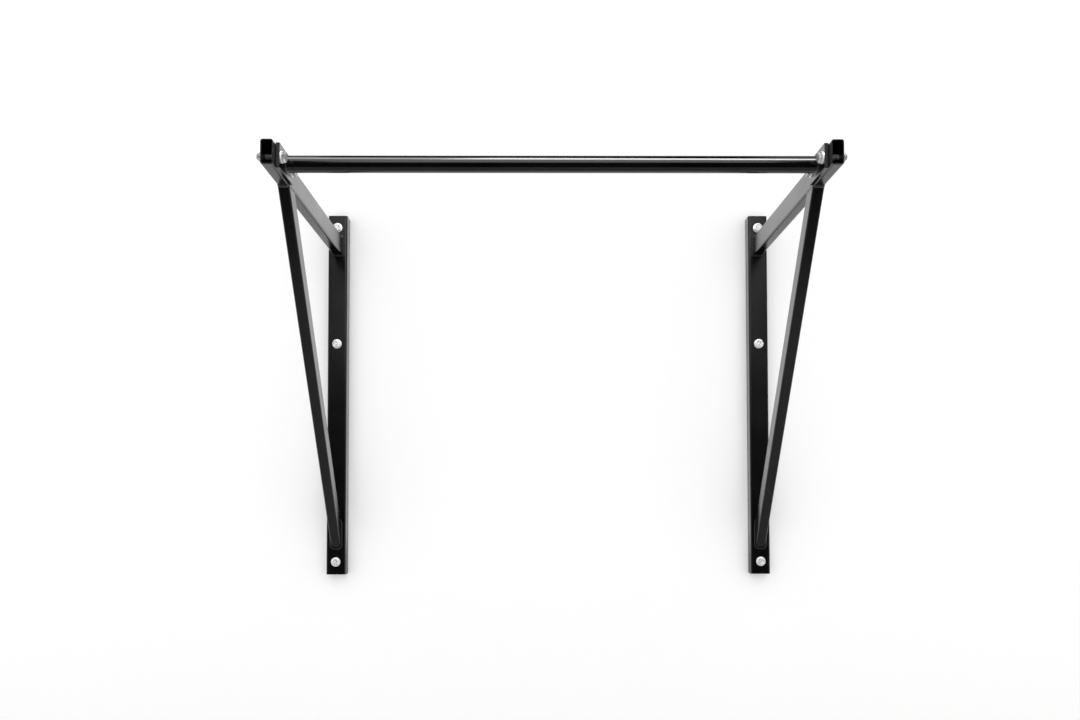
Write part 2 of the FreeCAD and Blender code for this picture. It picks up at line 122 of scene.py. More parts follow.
# Powder flows out as it is baked into shallow orange peel, with finer grit standing on it.
powder_grain, entrance, way_out = effect(
    "powder_grain", {"Peel Scale": 420.0, "Grit Scale": 2600.0, "Grit Share": 0.12},
    {"Height": "Float"})
peel = surface_noise(powder_grain, entrance["Peel Scale"], detail=2.0)
grit = surface_noise(powder_grain, entrance["Grit Scale"], detail=1.0)
grit_share = combine(powder_grain, "MULTIPLY", grit, entrance["Grit Share"])
powder_grain.links.new(combine(powder_grain, "ADD", peel, grit_share), way_out["Height"])

# A finish is never quite even: broad patches come out a little duller or paler than others.
patchiness, entrance, way_out = effect(
    "patchiness", {"Patch Scale": 7.0, "Low": 0.0, "High": 1.0}, {"Value": "Float"})
patches = surface_noise(patchiness, entrance["Patch Scale"], detail=4.0, roughness=0.6)
patchiness.links.new(
    spread(patchiness, patches, 0.3, 0.7, entrance["Low"], entrance["High"]), way_out["Value"])

# Edges are never dead sharp: they are rounded in the light and rubbed in places.
edge_wear, entrance, way_out = effect(
    "edge_wear", {"Radius": 0.0006, "Rubbed Scale": 160.0}, {"Mask": "Float", "Normal": "Vector"})
rounded = shader_node(edge_wear, "Bevel", {"Radius": entrance["Radius"]}, samples=6).outputs[0]
true_normal = shader_node(edge_wear, "NewGeometry").outputs["Normal"]
agreement = shader_node(edge_wear, "VectorMath", {0: rounded, 1: true_normal},
                        operation="DOT_PRODUCT").outputs["Value"]
rubbed = spread(edge_wear, surface_noise(edge_wear, entrance["Rubbed Scale"], detail=5.0),
                0.42, 0.62)
edge_mask = spread(edge_wear, agreement, 0.98, 0.75)
edge_wear.links.new(combine(edge_wear, "MULTIPLY", edge_mask, rubbed), way_out["Mask"])
edge_wear.links.new(rounded, way_out["Normal"])

# Dust and chalk from hands settle on what faces up, thinly and in specks.
settled_dust, entrance, way_out = effect(
    "settled_dust", {"Amount": 0.2, "Speck Scale": 240.0}, {"Mask": "Float"})
facing = shader_node(settled_dust, "NewGeometry").outputs["Normal"]
upward = spread(settled_dust, shader_node(settled_dust, "SeparateXYZ", {0: facing}).outputs["Z"],
                0.5, 1.0)
specks = spread(settled_dust, surface_noise(settled_dust, entrance["Speck Scale"],
                                            detail=6.0, roughness=0.7), 0.45, 0.75)
lying = combine(settled_dust, "MULTIPLY", upward, specks)
settled_dust.links.new(combine(settled_dust, "MULTIPLY", lying, entrance["Amount"]),
                       way_out["Mask"])


def placed_effect(tree, group, **values):
    """Places an effect in a material with its own values, given as Input_Name=value."""
    joins = {name.replace("_", " "): value for name, value in values.items()}
    return shader_node(tree, "Group", joins, node_tree=group).outputs


def tinted(tree, share, under, over):
    """One colour over another, as far as share says."""
    mix = shader_node(tree, "Mix", data_type="RGBA")
    for name, value in (("Factor", share), ("A", under), ("B", over)):
        socket = next(s for s in mix.inputs if s.name == name and s.enabled)
        if isinstance(value, bpy.types.NodeSocket):
            tree.links.new(value, socket)
        else:
            socket.default_value = value
    return next(s for s in mix.outputs if s.enabled)


def new_material(name):
    """An empty material: gives it and its node tree."""
    material = bpy.data.materials.new(name)
    material.use_nodes = True
    material.node_tree.nodes.clear()
    return material, material.node_tree


def show_surface(tree, surface):
    """Joins a shader to the material's output."""
    tree.links.new(surface.outputs[0], shader_node(tree, "OutputMaterial").inputs["Surface"])


def black_coat(name, dullness, grain_height, peel_scale):
    """Black powder coat: dullness is its range of roughness, grain_height the relief of its grain
    and peel_scale how fine that is."""
    material, tree = new_material(name)
    edges = placed_effect(tree, edge_wear, Radius=0.0006)
    dust = placed_effect(tree, settled_dust, Amount=0.12)["Mask"]
    shade = placed_effect(tree, patchiness, Patch_Scale=5.0)["Value"]
    black = tinted(tree, shade, DEEP_BLACK, FADED_BLACK)
    thin_edges = tinted(tree, edges["Mask"], black, THIN_COAT)
    colour = tinted(tree, dust, thin_edges, CHALK_DUST)
    dull = placed_effect(tree, patchiness, Patch_Scale=11.0, Low=dullness[0],
                         High=dullness[1])["Value"]
    dusty = combine(tree, "ADD", dull, combine(tree, "MULTIPLY", dust, DUST_DULLS))
    grain = placed_effect(tree, powder_grain, Peel_Scale=peel_scale)["Height"]
    relief = shader_node(tree, "Bump", {"Height": grain, "Distance": grain_height,
                                        "Normal": edges["Normal"]})
    show_surface(tree, shader_node(tree, "BsdfPrincipled", {
        "Base Color": colour, "Roughness": dusty, "IOR": COAT_IOR,
        "Normal": relief.outputs["Normal"]}))
    return material


satin_black = black_coat("satin_black_coat", dullness=(0.18, 0.24), grain_height=0.00017,
                         peel_scale=420.0)
for side in SIDES:
    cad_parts[f"{side}_upright"].material_slots[0].material = satin_black


# ------------------------------------------------------------------ arms
# Each arm is a shorter length of rectangular tube, welded to its upright at one end and left
# open at the other. It is drilled from side to side for the two flange bolts; the sawn ends are
# deburred, and the bore keeps the round corners that the tube was rolled with.

TUBE_CORNER = 0.005
ARM_WALL = 0.0025
SAWN_EDGE = 0.0005
BOLT_HOLE = 0.013
DRILL_OVERRUN = 0.02
FLANGE_BOLT_INSET = 0.0125
COAT_SLOT = "black_powder_coat"

# An edge where the surface turns by more than this stays crisp.
CREASE = math.radians(32)


def rounded_outline(width, height, corner, steps=8):
    """Points round a rectangle with round corners, centred on zero, anticlockwise."""
    points = []
    for quarter in range(4):
        start = quarter * math.pi / 2
        middle = Vector((width / 2 - corner, height / 2 - corner))
        if quarter in (1, 2):
            middle.x = -middle.x
        if quarter in (2, 3):
            middle.y = -middle.y
        for step in range(steps + 1):
            angle = start + step / steps * math.pi / 2
            points.append(middle + corner * Vector((math.cos(angle), math.sin(angle))))
    return points


def skin(mesh, rings, joined=False, bright=None):
    """Covers rings of points with faces, joined back to the first ring or capped at both ends.
    Where bright is given, only those bands between rings keep the piece's first finish."""
    loops = [[mesh.verts.new(point) for point in ring] for ring in rings]
    following = loops[1:] + loops[:1] if joined else loops[1:]
    faces = [mesh.faces.new((one[i - 1], one[i], two[i], two[i - 1]))
             for one, two in zip(loops, following) for i in range(len(one))]
    if not joined:
        faces += [mesh.faces.new(loops[0][::-1]), mesh.faces.new(loops[-1])]
    bmesh.ops.recalc_face_normals(mesh, faces=faces)
    for edge in {edge for face in faces for edge in face.edges}:
        edge.smooth = edge.calc_face_angle(0) < CREASE
    for index, face in enumerate(faces):
        face.smooth = True
        if bright:
            face.material_index = int(index // len(loops[0]) not in bright)


def make_piece(name, mesh, material, slot, *nodes, second_finish=None):
    """A piece of the object: rides with the frame and stands for the nodes named."""
    data = bpy.data.meshes.new(name)
    mesh.to_mesh(data)
    mesh.free()
    data.materials.append(material)
    if second_finish:
        data.materials.append(second_finish)
    piece = bpy.data.objects.new(name, data)
    bpy.context.scene.collection.objects.link(piece)
    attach(piece, "root")
    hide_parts(*nodes)
    return piece


def keep_flats(piece):
    """Large flat faces stay flat where they run into a round corner."""
    piece.modifiers.new("flat_faces", "WEIGHTED_NORMAL").keep_sharp = True


def ring(place, radius, height, count=64):
    """Points round the axis of place; radius and height are numbers or change with the angle."""
    points = []
    for index in range(count):
        angle = index / count * math.tau
        reach = radius(angle) if callable(radius) else radius
        lift = height(angle) if callable(height) else height
        points.append(place @ Vector((reach * math.cos(angle), reach * math.sin(angle), lift)))
    return points


def axis_at(point, direction, turn=0.0):
    """A place at point with its own Z along direction and, unless turned, its own Y upwards."""
    forward = Vector(direction)
    up = Vector((0, 0, 1))
    axes = Matrix((up.cross(forward), up, forward)).transposed().to_4x4()
    return Matrix.Translation(point) @ axes @ Matrix.Rotation(turn, 4, "Z")


def bolt_places(side):
    """The middles of the two bolt holes in this side's arm and flange plate, front one first."""
    low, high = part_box(f"{side}_flange_plate")
    middle = (low.z + high.z) / 2
    return (low.y + FLANGE_BOLT_INSET, middle), (high.y - FLANGE_BOLT_INSET, middle)


def drill(piece, side):
    """Bores both bolt holes of this side right through a piece."""
    low, high = (corner.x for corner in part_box(f"{side}_arm"))
    ends = low - DRILL_OVERRUN, high + DRILL_OVERRUN
    cutter = bmesh.new()
    for y, z in bolt_places(side):
        place = axis_at((0, y, z), (1, 0, 0))
        skin(cutter, [ring(place, BOLT_HOLE / 2, x) for x in ends])
    data = bpy.data.meshes.new("drill")
    cutter.to_mesh(data)
    cutter.free()
    bit = bpy.data.objects.new("drill", data)
    bpy.context.scene.collection.objects.link(bit)
    cut = piece.modifiers.new("bolt_holes", "BOOLEAN")
    cut.object = bit
    bpy.context.view_layer.update()
    bored = bpy.data.meshes.new_from_object(
        piece.evaluated_get(bpy.context.evaluated_depsgraph_get()))
    piece.modifiers.remove(cut)
    piece.data = bored
    bored.set_sharp_from_angle(angle=CREASE)
    bpy.data.objects.remove(bit)


for side in SIDES:
    low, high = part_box(f"{side}_arm")
    size = high - low
    centre = (low + high) / 2
    rings = []
    for inset, y in ((0, high.y), (0, low.y + SAWN_EDGE), (SAWN_EDGE, low.y),
                     (ARM_WALL - SAWN_EDGE, low.y), (ARM_WALL, low.y + SAWN_EDGE),
                     (ARM_WALL, high.y)):
        section = rounded_outline(size.x - 2 * inset, size.z - 2 * inset, TUBE_CORNER - inset)
        rings.append([(centre.x + point.x, y, centre.z + point.y) for point in section])
    mesh = bmesh.new()
    skin(mesh, rings, joined=True)
    arm = make_piece(f"{side}_arm_tube", mesh, satin_black, COAT_SLOT, f"{side}_arm")
    drill(arm, side)
    keep_flats(arm)


# ------------------------------------------------------------------ arm root welds
# A fillet bead runs all the way round the root of each arm. It was laid by hand in short
# overlapping pools, so its face is a row of crescents, and the powder coat has softened them.

WELD_LEG = 0.005
POOL_LENGTH = 0.0027
STATION_PACE = 0.0004
BEAD_STEPS = 8

# How far a crescent bows, in pools, and then in legs of the weld: how deep the bead bites into
# the root, how far its face is crowned and how high the ripples stand on that.
POOL_CURVE = 0.45
ROOT_DEPTH = 0.08
CROWN = 0.1
RIPPLE = 0.1

# A bead laid all round keeps a little inside the leg, which leaves room for its crown. The hand
# that lays it drifts in two slow waves, each given as its size, its pace and its start.
LAID_LEG = WELD_LEG * 0.94
HAND_DRIFT = ((0.07, 0.137, 0.0), (0.05, 0.311, 1.0))


def evenly(points):
    """Points about one station apart round a closed outline."""
    corners = points + points[:1]
    lengths = [(two - one).length for one, two in zip(corners, corners[1:])]
    around = sum(lengths)
    count = round(around / STATION_PACE)
    spaced, run, index = [], 0.0, 0
    for step in range(count):
        goal = step / count * around
        while run + lengths[index] < goal:
            run += lengths[index]
            index += 1
        share = (goal - run) / lengths[index] if lengths[index] else 0.0
        spaced.append(corners[index].lerp(corners[index + 1], share))
    return spaced


def weld_bead(mesh, stations):
    """Skins a closed bead over stations, each its root, its toe on the plate, its toe on the tube
    and the way that it swells."""
    pools = round(len(stations) * STATION_PACE / POOL_LENGTH)
    rings = []
    for index, (root, plate_toe, tube_toe, swell) in enumerate(stations):
        leg = ((plate_toe - root).length + (tube_toe - root).length) / 2
        drift = 1 + sum(size * math.sin(index * pace + start) for size, pace, start in HAND_DRIFT)
        section = [root - swell * leg * ROOT_DEPTH]
        for step in range(BEAD_STEPS + 1):
            share = step / BEAD_STEPS
            arch = 4 * share * (1 - share)
            travel = index / len(stations) * pools + POOL_CURVE * arch
            ripple = abs(math.sin(math.pi * travel))
            height = leg * drift * arch * (CROWN + RIPPLE * ripple)
            section.append(plate_toe.lerp(tube_toe, share) + swell * height)
        rings.append(section)
    skin(mesh, rings, joined=True)


def fillet_stations(plane, outline, tube):
    """Stations round a tube's foot: outline is the foot on plane, tube the way the tube leaves."""
    normal = plane.to_3x3() @ Vector((0, 0, 1))
    feet = [plane @ point.to_3d() for point in outline]
    stations = []
    for index, foot in enumerate(feet):
        forward = (feet[(index + 1) % len(feet)] - feet[index - 1]).normalized()
        out = forward.cross(normal)
        climb = (tube - tube.dot(forward) * forward).normalized()
        stations.append((foot, foot + out * LAID_LEG, foot + climb * LAID_LEG,
                         (out + climb).normalized()))
    return stations


def lay_fillet(mesh, plane, outline, tube):
    """Lays a bead all round the foot of a tube."""
    weld_bead(mesh, fillet_stations(plane, evenly(outline), tube))


INTO_ROOM = Vector((0, -1, 0))
mesh = bmesh.new()
for side in SIDES:
    low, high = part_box(f"{side}_arm")
    root = axis_at(((low.x + high.x) / 2, high.y, (low.z + high.z) / 2), INTO_ROOM)
    outline = rounded_outline(high.x - low.x, high.z - low.z, TUBE_CORNER)
    lay_fillet(mesh, root, outline, INTO_ROOM)
make_piece("arm_weld_beads", mesh, satin_black, COAT_SLOT, "arm_welds")


# ------------------------------------------------------------------ braces
# A brace of slimmer rectangular tube props each arm from the foot of its upright. Both ends are
# mitred to meet the other tubes, and the same black coat runs over it.

for side in SIDES:
    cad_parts[f"{side}_brace"].material_slots[0].material = satin_black


# ------------------------------------------------------------------ brace welds
# The foot of the brace is welded all round on the face of the upright. Under the arm, beads
# cross the front and the back of the brace and fill the groove beside each round corner.

BRACE_DEPTH = 0.040

# At the sides of the brace the bead reaches less far down it, and swells further out.
THINNER_BESIDE = 0.6
FULLER_BESIDE = 2.0


def stretched(outline, factor):
    """The outline of a tube cut on the slant, which is longer than its square section."""
    return [Vector((point.x, point.y * factor)) for point in outline]


foot_mesh = bmesh.new()
top_mesh = bmesh.new()
for side in SIDES:
    low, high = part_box(f"{side}_brace")
    width = high.x - low.x
    middle = (low.x + high.x) / 2
    slope = Vector((0, low.y - high.y, high.z - low.z)).normalized()
    square = rounded_outline(width, BRACE_DEPTH, TUBE_CORNER)
    foot_length = BRACE_DEPTH / abs(slope.y)
    foot = axis_at((middle, high.y, low.z + foot_length / 2), INTO_ROOM)
    lay_fillet(foot_mesh, foot, stretched(square, 1 / abs(slope.y)), slope)

    top_length = BRACE_DEPTH / slope.z
    top_middle = Vector((middle, low.y + top_length / 2, high.z))
    half = width / 2
    outline = evenly(stretched(square, 1 / slope.z))
    stations = []
    for index, point in enumerate(outline):
        forward = (outline[(index + 1) % len(outline)] - outline[index - 1]).normalized()
        out = Vector((forward.y, -forward.x))
        beside = abs(out.x)
        foot = top_middle + point.to_3d()
        reach = point + out * WELD_LEG
        reach.x = max(-half, min(half, reach.x))
        beyond = max(0.0, abs(reach.x) - (half - TUBE_CORNER))
        arm_face = TUBE_CORNER - math.sqrt(TUBE_CORNER ** 2 - beyond ** 2)
        arm_toe = top_middle + Vector((reach.x, reach.y, arm_face))
        along = forward.to_3d()
        down = (-slope + slope.dot(along) * along).normalized()
        brace_toe = foot + down * WELD_LEG * (1 - THINNER_BESIDE * beside)
        swell = (arm_toe - foot + brace_toe - foot
                 + out.to_3d() * WELD_LEG * FULLER_BESIDE * beside)
        stations.append((foot, arm_toe, brace_toe, swell.normalized()))
    weld_bead(top_mesh, stations)
make_piece("brace_foot_beads", foot_mesh, satin_black, COAT_SLOT, "brace_foot_welds")
make_piece("brace_top_beads", top_mesh, satin_black, COAT_SLOT, "brace_top_welds")


# ------------------------------------------------------------------ flange plates
# A flat steel plate closes each end of the bar and lies against the inner side of the arm. It
# is cut from flat bar, drilled for two bolts, and its edges are eased before coating.

PLATE_EDGE = 0.0008
PLATE_CORNER = 0.0015
EDGE_STEPS = 4

for side in SIDES:
    low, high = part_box(f"{side}_flange_plate")
    size = high - low
    centre = (low + high) / 2
    rings = []
    for end, order in ((low.x, 1), (high.x, -1)):
        for step in range(EDGE_STEPS + 1)[::order]:
            angle = step / EDGE_STEPS * math.pi / 2
            inset = PLATE_EDGE * (1 - math.sin(angle))
            x = end + order * PLATE_EDGE * (1 - math.cos(angle))
            section = rounded_outline(size.y - 2 * inset, size.z - 2 * inset,
                                      PLATE_CORNER - inset, EDGE_STEPS)
            rings.append([(x, centre.y + point.x, centre.z + point.y) for point in section])
    mesh = bmesh.new()
    skin(mesh, rings)
    plate = make_piece(f"{side}_end_plate", mesh, satin_black, COAT_SLOT, f"{side}_flange_plate")
    drill(plate, side)
    keep_flats(plate)


# ------------------------------------------------------------------ pull-up bar
# A length of smooth round tube, welded all round to both plates. Hands run along it, so its
# coat is a thinner, glossier black with no grain to speak of.

BAR_WALL = 0.0026
BAR_FACETS = 96

smooth_black = black_coat("smooth_black_coat", dullness=(0.1, 0.14), grain_height=0.00001,
                          peel_scale=150.0)
low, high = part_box("pull_up_bar")
bar_radius = (high.z - low.z) / 2
bar_axis = axis_at((0, (low.y + high.y) / 2, (low.z + high.z) / 2), (1, 0, 0))
mesh = bmesh.new()
skin(mesh, [ring(bar_axis, radius, x, BAR_FACETS) for radius, x in (
    (bar_radius, low.x), (bar_radius, high.x),
    (bar_radius - BAR_WALL, high.x), (bar_radius - BAR_WALL, low.x))], joined=True)
make_piece("smooth_bar_tube", mesh, smooth_black, COAT_SLOT, "pull_up_bar")


def inner_face(side):
    """How far along X this side's flange plate faces the bar."""
    return min(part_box(f"{side}_flange_plate"), key=lambda corner: abs(corner.x)).x


mesh = bmesh.new()
circle = [point.to_2d() for point in ring(Matrix.Identity(4), bar_radius, 0.0, BAR_FACETS)]
for side, sign in SIDES.items():
    inward = Vector((-sign, 0, 0))
    end = axis_at((inner_face(side), (low.y + high.y) / 2, (low.z + high.z) / 2), inward)
    lay_fillet(mesh, end, circle, inward)
make_piece("bar_weld_beads", mesh, satin_black, COAT_SLOT, "bar_welds")


# ------------------------------------------------------------------ washers
# Flat washers, punched from plated strip, so one rim is rounded and the other is sharp. They sit
# under the heads of the flange bolts and of the wall bolts.

ZINC_SLOT = "zinc_plated_steel"
WASHER_RADIUS = 0.012
WASHER_BORE = 0.0065
WASHER_THICKNESS = 0.0025
PUNCHED_EDGE = 0.0005
SCRATCH_WAYS = (0.5, 2.1)
SCRATCH_DEPTH = 0.00002
RUBBED_ZINC = (0.9, 0.9, 0.9, 1)

# Light handling marks: long fine scratches that cross in two directions.
fine_scratches, entrance, way_out = effect(
    "fine_scratches", {"Scale": 900.0, "Depth": 1.0}, {"Height": "Float"})
place = shader_node(fine_scratches, "TexCoord").outputs["Object"]
heights = []
for turn in SCRATCH_WAYS:
    across = shader_node(fine_scratches, "Mapping", {
        "Vector": place, "Rotation": (turn, turn / 2, turn), "Scale": (1, 0.04, 1)}).outputs[0]
    heights.append(shader_node(fine_scratches, "TexNoise", {
        "Vector": across, "Scale": entrance["Scale"], "Detail": 1.0}).outputs[0])
fine_scratches.links.new(
    combine(fine_scratches, "MULTIPLY", combine(fine_scratches, "ADD", *heights),
            entrance["Depth"]), way_out["Height"])


def zinc_plate(name, bright, dull, bare, dullness):
    """Zinc plate over steel: bright and dull are the colours that its patches run between, bare is
    how metallic it looks, from under its white bloom to rubbed off, and dullness how rough."""
    material, tree = new_material(name)
    edges = placed_effect(tree, edge_wear, Radius=0.0003, Rubbed_Scale=300.0)
    patches = placed_effect(tree, patchiness, Patch_Scale=260.0)["Value"]
    bloom = placed_effect(tree, patchiness, Patch_Scale=310.0, Low=bare[0], High=bare[1])["Value"]
    plate = tinted(tree, patches, dull, bright)
    colour = tinted(tree, edges["Mask"], plate, RUBBED_ZINC)
    rough = placed_effect(tree, patchiness, Patch_Scale=320.0, Low=dullness[0],
                          High=dullness[1])["Value"]
    marks = placed_effect(tree, fine_scratches, Scale=1500.0)["Height"]
    relief = shader_node(tree, "Bump", {"Height": marks, "Distance": SCRATCH_DEPTH,
                                        "Normal": edges["Normal"]})
    show_surface(tree, shader_node(tree, "BsdfPrincipled", {
        "Base Color": colour, "Metallic": bloom, "Roughness": rough,
        "Normal": relief.outputs["Normal"]}))
    return material


white_zinc = zinc_plate("white_zinc", bright=(0.97, 0.975, 0.98, 1), dull=(0.86, 0.87, 0.88, 1),
                        bare=(0.05, 0.45), dullness=(0.36, 0.5))


def washer(mesh, place):
    """A washer standing on place, with its rounded rim away from it."""
    thickness = WASHER_THICKNESS
    soft = PUNCHED_EDGE
    skin(mesh, [ring(place, radius, height) for radius, height in (
        (WASHER_BORE, 0), (WASHER_RADIUS - soft / 4, 0), (WASHER_RADIUS, soft / 4),
        (WASHER_RADIUS, thickness - soft), (WASHER_RADIUS - soft * 0.3, thickness - soft * 0.3),
        (WASHER_RADIUS - soft, thickness), (WASHER_BORE + soft / 2, thickness),
        (WASHER_BORE, thickness - soft / 2))], joined=True)


mesh = bmesh.new()
for side, sign in SIDES.items():
    for y, z in bolt_places(side):
        washer(mesh, axis_at((inner_face(side), y, z), (-sign, 0, 0)))
make_piece("flange_washers", mesh, white_zinc, ZINC_SLOT, "bolt_head_washers")


# ------------------------------------------------------------------ wall washers
# The same plated washers, three to a side, lie against the front of each upright, under the heads
# of the bolts that hold the frame to the wall.

# How far the middle bolt is below the top one.
MIDDLE_DROP = 0.308


def wall_bolt_places(side):
    """Where this side's three wall bolts leave the front face of the upright, top one first."""
    low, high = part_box(f"{side}_wall_washers")
    foot, head = low.z + WASHER_RADIUS, high.z - WASHER_RADIUS
    return [Vector(((low.x + high.x) / 2, high.y, z)) for z in (head, head - MIDDLE_DROP, foot)]


for side in SIDES:
    mesh = bmesh.new()
    for point in wall_bolt_places(side):
        washer(mesh, axis_at(point, INTO_ROOM))
    make_piece(f"{side}_bolt_washers", mesh, white_zinc, ZINC_SLOT, f"{side}_wall_washers")


# ------------------------------------------------------------------ flange bolts
# Hexagon head bolts pass from the plate right through the arm. The head is forged with a
# chamfered crown and a washer face, and the thread is rolled, so its crests are rounded.

ACROSS_FLATS = 0.019
HEAD_HEIGHT = 0.0075
FACE_HEIGHT = 0.0006
CROWN_RADIUS = ACROSS_FLATS / 2 * 0.95
CROWN_DISH = 0.0003
CHAMFER_SLOPE = math.tan(math.radians(30))
BOLT_RADIUS = 0.006
UNDER_HEAD = 0.0004
FLANGE_SHANK = 0.020
FLANGE_THREAD = {"pitch": 0.00175, "depth": 0.0011, "point": (0.0016, 0.0014)}
RINGS_PER_TURN = 11
FLANK_SLOPE = 2.6
HEAD_TURNS = {"left": (-9, 41), "right": (6, 23)}

# The bands of a head's rings that are its sides, and so keep the first finish.
HEAD_SIDES = range(2, 7)

# The sides of the hexagon are bright. The crown keeps the grey of its forging, and the shank and
# the thread are darker, partly from oil and partly as painted shade for where they lie deep inside
# the arm.
bright_zinc = zinc_plate("bright_zinc", bright=(0.94, 0.945, 0.95, 1), dull=(0.42, 0.42, 0.44, 1),
                         bare=(0.75, 1.0), dullness=(0.2, 0.34))
oily_and_shaded_zinc = zinc_plate("oily_and_shaded_zinc", bright=(0.36, 0.36, 0.37, 1), dull=(0.12, 0.12, 0.13, 1),
                       bare=(0.3, 0.6), dullness=(0.4, 0.55))


def hexagon(angle):
    """How far a hexagon reaches at this angle, with a corner straight up."""
    return ACROSS_FLATS / 2 / math.cos((angle + math.pi / 6) % (math.pi / 3) - math.pi / 6)


def chamfer(angle):
    """How far the turned chamfer cuts down the side of the hexagon at this angle."""
    return max(0.0, (hexagon(angle) - CROWN_RADIUS) * CHAMFER_SLOPE)


def head_rings(place):
    """The head of a bolt whose bearing face is at place, from the crown down."""
    top = -HEAD_HEIGHT
    return [ring(place, CROWN_RADIUS * 0.55, top + CROWN_DISH),
            ring(place, CROWN_RADIUS * 0.8, top),
            ring(place, CROWN_RADIUS, top), ring(place, hexagon, lambda a: top + chamfer(a)),
            ring(place, hexagon, lambda a: -FACE_HEIGHT - chamfer(a) / 2),
            ring(place, CROWN_RADIUS * 0.96, -FACE_HEIGHT), ring(place, CROWN_RADIUS * 0.93, 0.0),
            ring(place, BOLT_RADIUS + UNDER_HEAD, 0.0)]


def thread_rings(place, start, end, pitch, depth, point):
    """A screw thread from start to end along place: point is the length over which its end
    narrows, and by how much."""
    rings = []
    count = round((end - start) / pitch * RINGS_PER_TURN)
    for index in range(count + 1):
        height = start + (end - start) * index / count
        narrowing = max(0.0, 1 - (end - height) / point[0]) * point[1]
        run_out = min(1.0, (height - start) / pitch)

        def reach(angle, height=height, narrowing=narrowing, run_out=run_out):
            turn = (height / pitch - angle / math.tau) % 1
            groove = min(1.0, abs(turn - 0.5) * FLANK_SLOPE) * run_out
            return BOLT_RADIUS - max(depth * groove, narrowing)

        rings.append(ring(place, reach, height))
    return rings


for side, sign in SIDES.items():
    low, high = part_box(f"{side}_flange_bolts")
    bearing = inner_face(side) - sign * WASHER_THICKNESS
    length = max(abs(low.x), abs(high.x)) - abs(bearing)
    mesh = bmesh.new()
    for (y, z), turn in zip(bolt_places(side), HEAD_TURNS[side]):
        place = axis_at((bearing, y, z), (sign, 0, 0), math.radians(turn))
        skin(mesh, head_rings(place) + [ring(place, BOLT_RADIUS, UNDER_HEAD)]
             + thread_rings(place, FLANGE_SHANK, length, **FLANGE_THREAD), bright=HEAD_SIDES)
    make_piece(f"{side}_hex_bolts", mesh, bright_zinc, ZINC_SLOT, f"{side}_flange_bolts",
               second_finish=oily_and_shaded_zinc)


# ------------------------------------------------------------------ lock nuts
# Prevailing torque nuts on the outer side of the arms: a hexagon chamfered on its bearing side,
# and a round collar that is rolled over a nylon ring, which grips the end of the thread.

NUT_HEX_HEIGHT = 0.0085
COLLAR_RADIUS = 0.0085
COLLAR_LIP = 0.0071
COLLAR_FOOT = 0.0006
COLLAR_STEPS = 6
LIP_WALL = 0.0003
COUNTERSINK = 0.0006
THREAD_PLAY = 0.0001
NUT_TURNS = {"left": (-7, 12), "right": (10, 35)}

# The ring bites into the thread and lies clear of the collar, off the hexagon and below the rim.
# The mouth of its bore is eased across by the first of the last two, and down by the second.
NYLON_BITE = 0.0002
NYLON_PLAY = 0.0001
NYLON_LIFT = 0.0002
NYLON_SUNK = 0.0009
NYLON_MOUTH = (0.0004, 0.0003)
NYLON_SCRATCH = 0.00003
CLOUDED_NYLON = (0.62, 0.63, 0.6, 1)
MILKY_NYLON = (0.74, 0.75, 0.72, 1)


def rolled_collar(place, height):
    """The collar of a lock nut from its foot, over its rolled rim and down inside."""
    bend = height - NUT_HEX_HEIGHT - COLLAR_FOOT
    rings = [ring(place, COLLAR_RADIUS, NUT_HEX_HEIGHT)]
    for step in range(COLLAR_STEPS + 1):
        angle = step / COLLAR_STEPS * math.pi / 2
        rings.append(ring(place, COLLAR_LIP + (COLLAR_RADIUS - COLLAR_LIP) * math.cos(angle),
                          height - bend * (1 - math.sin(angle))))
    return rings + [ring(place, COLLAR_LIP - LIP_WALL, height - LIP_WALL),
                    ring(place, COLLAR_LIP - LIP_WALL, NUT_HEX_HEIGHT)]


nylon, tree = new_material("natural_nylon")
milky = placed_effect(tree, patchiness, Patch_Scale=400.0)["Value"]
show_surface(tree, shader_node(tree, "BsdfPrincipled", {
    "Base Color": tinted(tree, milky, CLOUDED_NYLON, MILKY_NYLON),
    "Roughness": placed_effect(tree, patchiness, Patch_Scale=900.0, Low=0.35,
                               High=0.5)["Value"],
    "Normal": shader_node(tree, "Bump", {
        "Height": placed_effect(tree, fine_scratches, Scale=1200.0)["Height"],
        "Distance": NYLON_SCRATCH}).outputs["Normal"]}))

nut_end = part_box("lock_nuts")[1].x
nut_mesh = bmesh.new()
nylon_mesh = bmesh.new()
for side, sign in SIDES.items():
    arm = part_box(f"{side}_arm")
    outer = max(arm, key=lambda corner: abs(corner.x)).x
    height = nut_end - abs(outer)
    for (y, z), turn in zip(bolt_places(side), NUT_TURNS[side]):
        place = axis_at((outer, y, z), (sign, 0, 0), math.radians(turn))
        skin(nut_mesh, [
            ring(place, BOLT_RADIUS + COUNTERSINK, 0.0), ring(place, CROWN_RADIUS, 0.0),
            ring(place, hexagon, chamfer),
            ring(place, hexagon, lambda a: NUT_HEX_HEIGHT - chamfer(a)),
            ring(place, CROWN_RADIUS * 0.97, NUT_HEX_HEIGHT), *rolled_collar(place, height),
            ring(place, BOLT_RADIUS + THREAD_PLAY, NUT_HEX_HEIGHT)], joined=True)
        grip, seat = BOLT_RADIUS - NYLON_BITE, COLLAR_LIP - LIP_WALL - NYLON_PLAY
        foot, top = NUT_HEX_HEIGHT + NYLON_LIFT, height - NYLON_SUNK
        across, down = NYLON_MOUTH
        skin(nylon_mesh, [ring(place, radius, lift) for radius, lift in (
            (grip, foot), (grip, top - down), (grip + across, top), (seat, top), (seat, foot))],
            joined=True)
make_piece("lock_nut_bodies", nut_mesh, bright_zinc, ZINC_SLOT, "lock_nuts")
make_piece("nylon_grip_rings", nylon_mesh, nylon, None)


# ------------------------------------------------------------------ wall bolts
# Coach screws, three to a side: the same forged hexagon head, a neck that passes through the
# upright, and a coarse thread with a gimlet point that bites into the wall plug.

